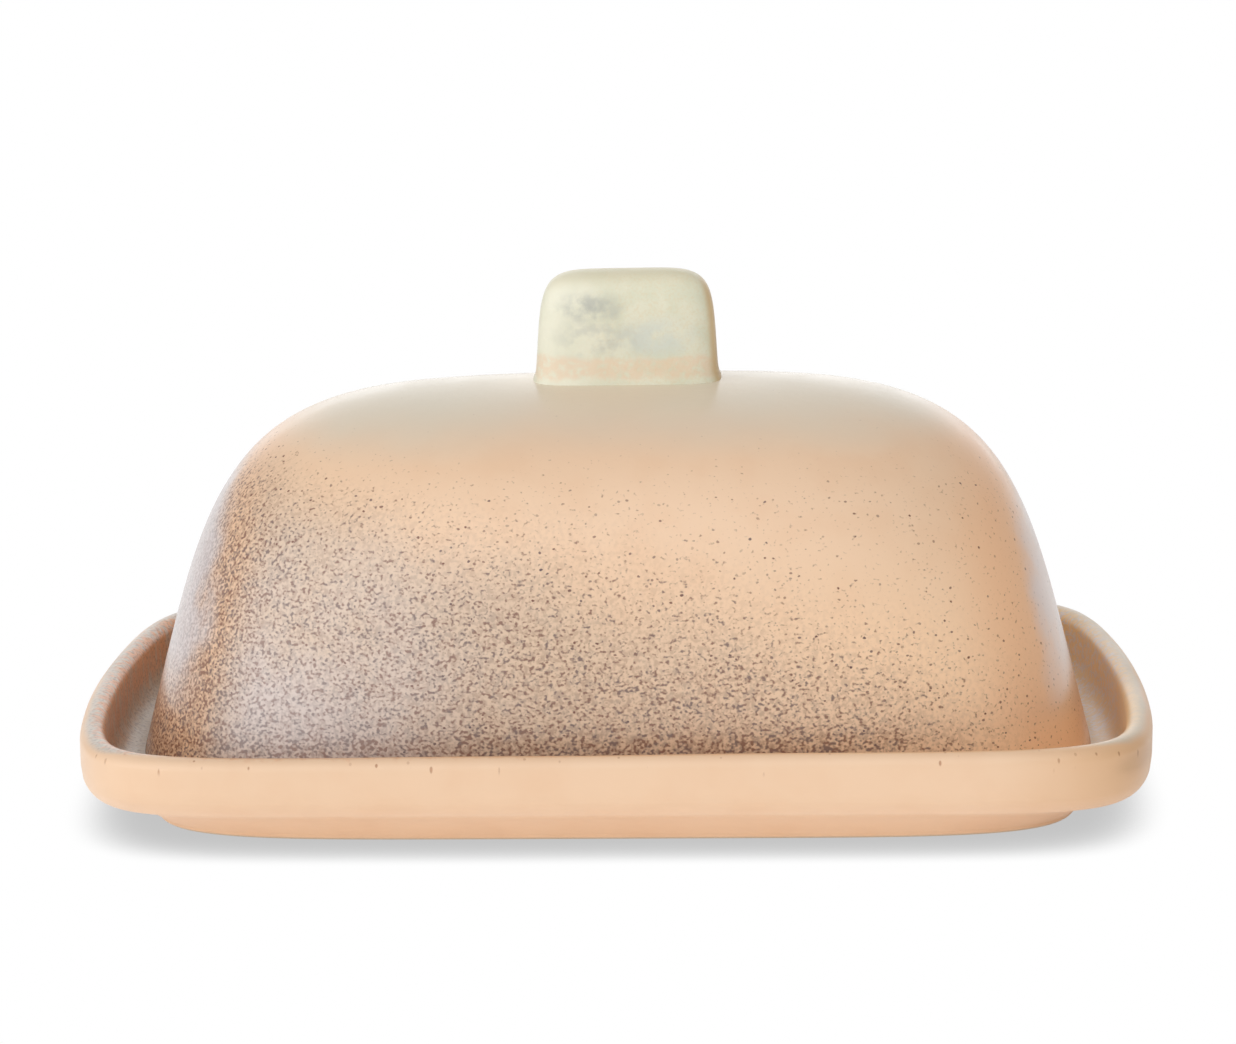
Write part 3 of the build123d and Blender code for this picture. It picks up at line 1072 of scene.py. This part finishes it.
def knob_band(nodes, place, z):
    """The warm band at the foot of the knob, 0 to 1."""
    height = nodes.scaled(nodes.noise(place, BAND_WAVE_SIZE), BAND_WAVE, z)
    band = nodes.both(nodes.step(height, *BAND_TOP_UP), nodes.step(height, *BAND_FOOT_UP))
    return nodes.both(band, nodes.step(nodes.noise(place, BAND_SIZE), *BAND_NOISE))


def knob_glaze():
    """Cream and more matt, with smoke-blue smudges, a warm band at the foot and painted shade in tan
    on the right edge.
    """
    nodes = Nodes("knob_glaze")
    place = nodes.place()
    x, _, z = nodes.split(place)
    sideways, upwards = nodes.facing()
    colour = knob_smudges(nodes, place, knob_cream(nodes, place, x))
    colour = nodes.mix(nodes.both(knob_band(nodes, place, z), BAND_MOST), colour, PEACH)
    colour = nodes.mix(nodes.both(nodes.step(upwards, *TOP_FACING), TOP_MOST), colour, KNOB_YELLOW)
    # Painted shade: tan on the knob's right side, turned from the light
    right_shade = nodes.both(nodes.step(sideways, *RIGHT_FACING), nodes.step(x, *RIGHT_ACROSS))
    colour = nodes.mix(nodes.both(right_shade, RIGHT_MOST), colour, KNOB_SHADE_TAN)
    relief = nodes.noise(place, KNOB_RELIEF_SIZE)
    return nodes.glaze(colour, KNOB_ROUGHNESS, relief, KNOB_RELIEF)


# ---- The studio ----------------------------------------------------------------------------------

CAMERA_AZIMUTH = math.radians(1.03)
CAMERA_ELEVATION = math.radians(12.22)
CAMERA_DISTANCE = 638.7 * MM
CAMERA_TARGET = Vector((0.33 * MM, 0, 45 * MM))
CAMERA_PITCH = math.radians(0.274)
CAMERA_ROLL = math.radians(0.548)
CAMERA_LENS = 97.36
CAMERA_SENSOR = 36

# Each soft light has a direction that it comes from and a strength. A higher focus makes them all
# narrower.
LIGHT_FOCUS = 5.0
LIGHTS = {
    "key": ((-0.8, -0.6, 0.2), 1.97),
    "high front": ((0, -0.7, 0.7), 1.3),
    "overhead": ((0, 0, 1), 0.3),
    "high back": ((0, 0.7, 0.7), 0.15),
    "backdrop": ((0, 1, 0.1), 1.55),
    "backdrop right": ((0.7, 0.7, 0.1), 0.22),
    "right fill": ((1, -0.3, 0.2), 0.15),
}
WHITE = (1, 1, 1, 1)

# The floor, and the shade that the camera sees on it close to the dish
FLOOR_HALF = 4.0
FLOOR_GREY = (0.85, 0.85, 0.85, 1)
FLOOR_ROUGHNESS = 0.9
FLOOR_GLOW = 0.275
CONTACT_REACH = 10 * MM
CONTACT_SHADE = 0.55
CONTACT_OPENNESS = (0.1, 0.9)


def camera():
    """The camera, which looks at the front of the dish from a little above."""
    data = bpy.data.cameras.new("camera")
    data.lens = CAMERA_LENS
    data.sensor_width = CAMERA_SENSOR
    item = bpy.data.objects.new("camera", data)
    bpy.context.scene.collection.objects.link(item)
    back = Vector((
        math.sin(CAMERA_AZIMUTH) * math.cos(CAMERA_ELEVATION),
        -math.cos(CAMERA_AZIMUTH) * math.cos(CAMERA_ELEVATION),
        math.sin(CAMERA_ELEVATION),
    ))
    facing = (-back).to_track_quat("-Z", "Y").to_matrix()
    tilt = Matrix.Rotation(CAMERA_PITCH, 3, "X") @ Matrix.Rotation(-CAMERA_ROLL, 3, "Z")
    place = Matrix.Translation(CAMERA_TARGET + back * CAMERA_DISTANCE)
    item.matrix_world = place @ (facing @ tilt).to_4x4()
    bpy.context.scene.camera = item


def surroundings():
    """A soft studio: each light is a wide glow in the world, and the camera sees plain white."""
    world = bpy.data.worlds.new("studio")
    bpy.context.scene.world = world
    world.use_nodes = True
    nodes = Nodes("studio", world.node_tree)
    direction = nodes.add("ShaderNodeTexCoord", {}).outputs["Generated"]
    level = nodes.add("ShaderNodeLightPath", {}).outputs["Is Camera Ray"]
    for source, strength in LIGHTS.values():
        inputs = {0: direction, 1: Vector(source).normalized()}
        towards = nodes.add("ShaderNodeVectorMath", inputs, operation="DOT_PRODUCT").outputs["Value"]
        fade = nodes.scaled(towards, LIGHT_FOCUS, -LIGHT_FOCUS)
        level = nodes.scaled(nodes.math("EXPONENT", fade), strength, level)
    light = nodes.add("ShaderNodeBackground", {"Color": WHITE, "Strength": level})
    nodes.add("ShaderNodeOutputWorld", {"Surface": light.outputs[0]})


def floor():
    """A pale floor, which is seen as plain white with a soft shadow close to the dish."""
    mesh = bpy.data.meshes.new("floor")
    corners = [(-FLOOR_HALF, -FLOOR_HALF), (FLOOR_HALF, -FLOOR_HALF)]
    corners += [(FLOOR_HALF, FLOOR_HALF), (-FLOOR_HALF, FLOOR_HALF)]
    mesh.from_pydata([(*corner, 0) for corner in corners], [], [(0, 1, 2, 3)])
    item = bpy.data.objects.new("floor", mesh)
    bpy.context.scene.collection.objects.link(item)
    nodes = Nodes("floor_white")
    lit = nodes.add(
        "ShaderNodeBsdfPrincipled",
        {
            "Base Color": FLOOR_GREY,
            "Roughness": FLOOR_ROUGHNESS,
            "Specular IOR Level": 0.0,
            "Emission Color": WHITE,
            "Emission Strength": FLOOR_GLOW,
        },
    )
    open_share = nodes.add("ShaderNodeAmbientOcclusion", {"Distance": CONTACT_REACH}).outputs["AO"]
    brightness = nodes.step(open_share, *CONTACT_OPENNESS, low=CONTACT_SHADE)
    seen = nodes.add("ShaderNodeEmission", {"Strength": brightness})
    is_camera = nodes.add("ShaderNodeLightPath", {}).outputs["Is Camera Ray"]
    surface = nodes.add("ShaderNodeMixShader", {0: is_camera, 1: lit.outputs[0], 2: seen.outputs[0]})
    nodes.add("ShaderNodeOutputMaterial", {"Surface": surface.outputs[0]})
    mesh.materials.append(nodes.material)


# ---- Putting it together -------------------------------------------------------------------------

def finish_piece(piece, body, node, material, seed):
    """Gives a piece its glaze and its wobble, and puts it in place of its CAD node."""
    piece.data.materials.append(material)
    wobble(piece, WOBBLE, seed)
    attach(piece, body)
    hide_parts(node)


camera()
surroundings()
floor()
finish_piece(tray_piece(), "tray", "tray", tray_glaze(), TRAY_SEED)
finish_piece(lid_piece(), "lid", "lid_shell", lid_glaze(), LID_SEED)
finish_piece(knob_piece(), "lid", "knob", knob_glaze(), LID_SEED)

bpy.context.scene.view_settings.view_transform = "Standard"
